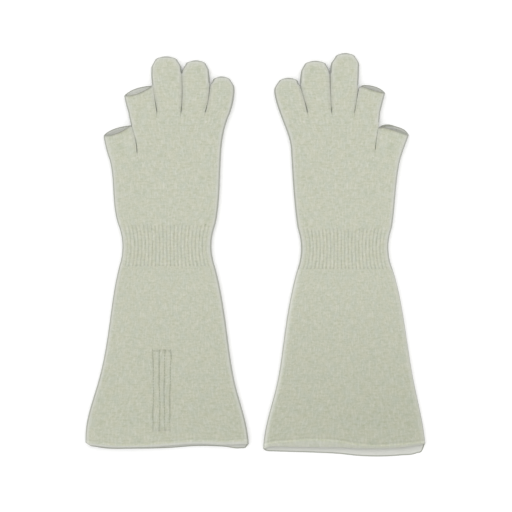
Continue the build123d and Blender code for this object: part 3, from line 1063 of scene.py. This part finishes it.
def makeCuff(layout):
    side, sign, look = layout["side"], layout["sign"], cuffs[layout["side"]]
    top = layout["ribBottom"]
    length = top - layout["hemFront"]
    # even rows down to the ridge where the hem rolls over, then close rows to its edge
    even = np.linspace(0, length - hem["band"], 112)
    straight = np.concatenate([even, length - hem["band"] + np.array([0.9, 1.8, 2.4])])
    toEdge = np.array([0, 0.12, 0.25, 0.4, 0.55, 0.68, 0.8, 0.9, 0.96, 1.0])
    rollAt = length - hem["rollFrom"]
    stations = np.concatenate([straight, rollAt + hem["rollFrom"] * toEdge])[:, None]
    over = np.concatenate([np.zeros(len(straight)), toEdge])[:, None]
    toRim = length - stations
    y = top - stations
    lowest = layout["body"][0, 0]
    left, right, t, fromSide = bandRows(layout, np.maximum(y, lowest), cuffShares(layout))
    x = sign * t
    share = (t - left) / (right - left)
    across = share if sign > 0 else 1 - share  # from the glove's left end, seen from above
    bend = np.clip(stations / rollAt, 0, 1) ** 3
    ridge, front, back = (hemCurve(look[line], across) for line in ("ridge", "front", "back"))
    ridgeY = top - np.minimum(stations, rollAt) + (ridge - hem["rollFrom"]) * bend
    frontY = ridgeY + (layout["hemFront"] + front - ridgeY) * over
    lift = hem["lift"] * smooth(1 - toRim / hem["liftLength"])
    upper, lower = layers(x, frontY, rise(fromSide), lift)
    shade = 0.0
    if side == "left":
        upper = upper + panelRelief(x, frontY)
        shade = panelShade(x, frontY)
    drop, _, wallLeft = rimProfile(toRim)
    roll = hem["ridge"] * bell(toRim - hem["rollFrom"], hem["ridgeWidth"]) - hem["drop"] * over**2
    upper = upper + (roll - drop) * smooth(fromSide / 6)
    # painted highlight along the hem's ridge and painted shade just above it; below it the fabric is pale
    # like a fold, fluff and painted sheen, with a painted shaded line at its edge
    shade = shade - look["ridgeLight"] * bell(toRim - 3.2, 0.65)
    shade = shade + look["ridgeShade"] * bell(toRim - 4.8, 0.7)
    # painted light along the little finger's side of the cuff
    shade = shade - look["sideLight"] * fluffAndSheenOf(right - t, 6)
    hemFluffAndSheen = look["pale"] * smooth(over / 0.35) + look["line"] * smooth((over - 0.8) / 0.15)
    distances = (t - left, right - t)
    sideFluffAndSheenParts = [rimFluffAndSheen(d, 5, most) for d, most in zip(distances, look["sideFluff"])]
    fluff = np.maximum(np.maximum(*sideFluffAndSheenParts), hemFluffAndSheen)
    wales, courses = 130 * share - 15, y / fabric["course"]
    under = {"lowerY": y + back * bend, "shade": shade}
    ring = ringOf(x, frontY, upper, lower + drop, wales, courses, fluff, wallLeft, **under)
    columns = t.shape[1]
    behind = ring["fluff"][:, columns:]
    ring["fluff"][:, columns:] = np.maximum(behind, rimFluffAndSheen(toRim, *hem["backFluff"]))
    ring["shade"][:, columns:] = 0
    seam = len(even) - 1
    cuff, edge = rowsOf(ring, slice(0, seam + 1)), rowsOf(ring, slice(seam, None))
    knitPiece(f"{side}Cuff", cuff, f"{side}_cuff", "plain_knit", f"{side}_cuff")
    knitPiece(f"{side}CuffHem", edge, f"{side}_cuff_hem", "edge_knit", f"{side}_cuff")


def surfaceHeight(x, y):
    # height of the left cuff's upper layer under a point
    return float(layers(x, y, 1.0)[0] + panelRelief(x, y))


def makeStitches():
    random.seed(4)
    bm = bmesh.new()
    spots = []
    for i in range(len(panel["rowsAt"])):
        for y in np.arange(-panelLength / 2, panelLength / 2 + 0.1, panel["stitchPitch"]):
            angle = 90 + random.uniform(-6, 6)
            spots.append((float(rowLine(i, panelY + y)), panelY + y, angle))
    for end in (-1, 1):
        for x in np.arange(panel["rowsAt"][0] + 0.9, panel["rowsAt"][-1], panel["stitchPitch"]):
            angle = random.uniform(-8, 8)
            spots.append((panelX + x, float(barLine(end, panelX + x)), angle))
    size = (panel["stitch"] / 2000, panel["thread"] / 1000, panel["thread"] * 0.8 / 1000, 1)
    for x, y, angle in spots:
        place = Matrix.Translation(Vector((x, y, surfaceHeight(x, y) + 0.02)) / 1000)
        turned = place @ Matrix.Rotation(math.radians(angle), 4, "Z") @ Matrix.Diagonal(size)
        bmesh.ops.create_uvsphere(bm, u_segments=8, v_segments=6, radius=1, matrix=turned)
    softenEdges(bm)
    piece = makePiece("leftCuffStitches", newMesh("leftCuffStitches", bm), [stitchThread])
    placePiece(piece, "left_cuff_stitches", "stitch_thread", "left_cuff")


def makeTape():
    # the backing lies against the inside of the upper layer
    low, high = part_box("left_cuff_tape")
    bm = bmesh.new()
    bmesh.ops.create_grid(bm, x_segments=20, y_segments=60, size=0.5)
    for v in bm.verts:
        x = (low.x + (high.x - low.x) * (v.co.x + 0.5)) * 1000
        y = (low.y + (high.y - low.y) * (v.co.y + 0.5)) * 1000
        v.co = Vector((x, y, surfaceHeight(x, y) - fabric["wall"] - tape["gap"])) / 1000
    bmesh.ops.solidify(bm, geom=bm.faces[:], thickness=tape["thickness"])
    bmesh.ops.recalc_face_normals(bm, faces=bm.faces[:])
    piece = makePiece("leftCuffTape", newMesh("leftCuffTape", bm), [wovenTape])
    placePiece(piece, "left_cuff_tape", "tape", "left_cuff")


for side in gloveSigns:
    layout = gloveLayout(side)
    makeHand(layout)
    makePalm(layout)
    makeRib(layout)
    makeElastic(layout)
    makeCuff(layout)
    for finger in openFingers:
        makeOpenFinger(layout, finger)
    for finger in closedFingers:
        makeClosedFinger(layout, finger)
    if side == "left":
        makeStitches()
        makeTape()
    print(side, "glove made")


# Floor, light and camera.
studio = {
    "floorTone": 0.99,
    "floorGlow": 0.05,  # a sheet lit from below
    "skyStrength": 0.86,
    "sunStrength": 0.8,
    "sunSpread": 70.0,
    "sunTurn": (-15, -9, 0),
    "frameWidth": 0.4608,
    "lens": 120.0,
    "sensor": 36.0,
    "aim": (0.0003, -0.002, 0.007),
}


def linked(name, data):
    made = bpy.data.objects.new(name, data)
    bpy.context.scene.collection.objects.link(made)
    return made


def makeStudio():
    bm = bmesh.new()
    bmesh.ops.create_grid(bm, x_segments=1, y_segments=1, size=3)
    paint = bpy.data.materials.new("floorPaint")
    paint.use_nodes = True
    shader = paint.node_tree.nodes["Principled BSDF"]
    shader.inputs["Base Color"].default_value = (studio["floorTone"],) * 3 + (1,)
    shader.inputs["Roughness"].default_value = 1.0
    shader.inputs["Specular IOR Level"].default_value = 0.0
    shader.inputs["Emission Color"].default_value = (1, 1, 1, 1)
    shader.inputs["Emission Strength"].default_value = studio["floorGlow"]
    makePiece("floor", newMesh("floor", bm), [paint])
    world = bpy.data.worlds.new("studio")
    bpy.context.scene.world = world
    world.use_nodes = True
    sky = world.node_tree.nodes["Background"]
    sky.inputs[0].default_value = (1, 1, 1, 1)
    sky.inputs[1].default_value = studio["skyStrength"]
    sun = bpy.data.lights.new("softbox", "SUN")
    sun.energy = studio["sunStrength"]
    sun.angle = math.radians(studio["sunSpread"])
    linked("softbox", sun).rotation_euler = [math.radians(angle) for angle in studio["sunTurn"]]
    camera = linked("camera", bpy.data.cameras.new("camera"))
    camera.data.lens = studio["lens"]
    camera.data.sensor_width = studio["sensor"]
    distance = studio["frameWidth"] * studio["lens"] / studio["sensor"]
    camera.location = Vector(studio["aim"]) + Vector((0, 0, distance))
    bpy.context.scene.camera = camera
    bpy.context.scene.view_settings.view_transform = "Standard"


makeStudio()
print("studio made")
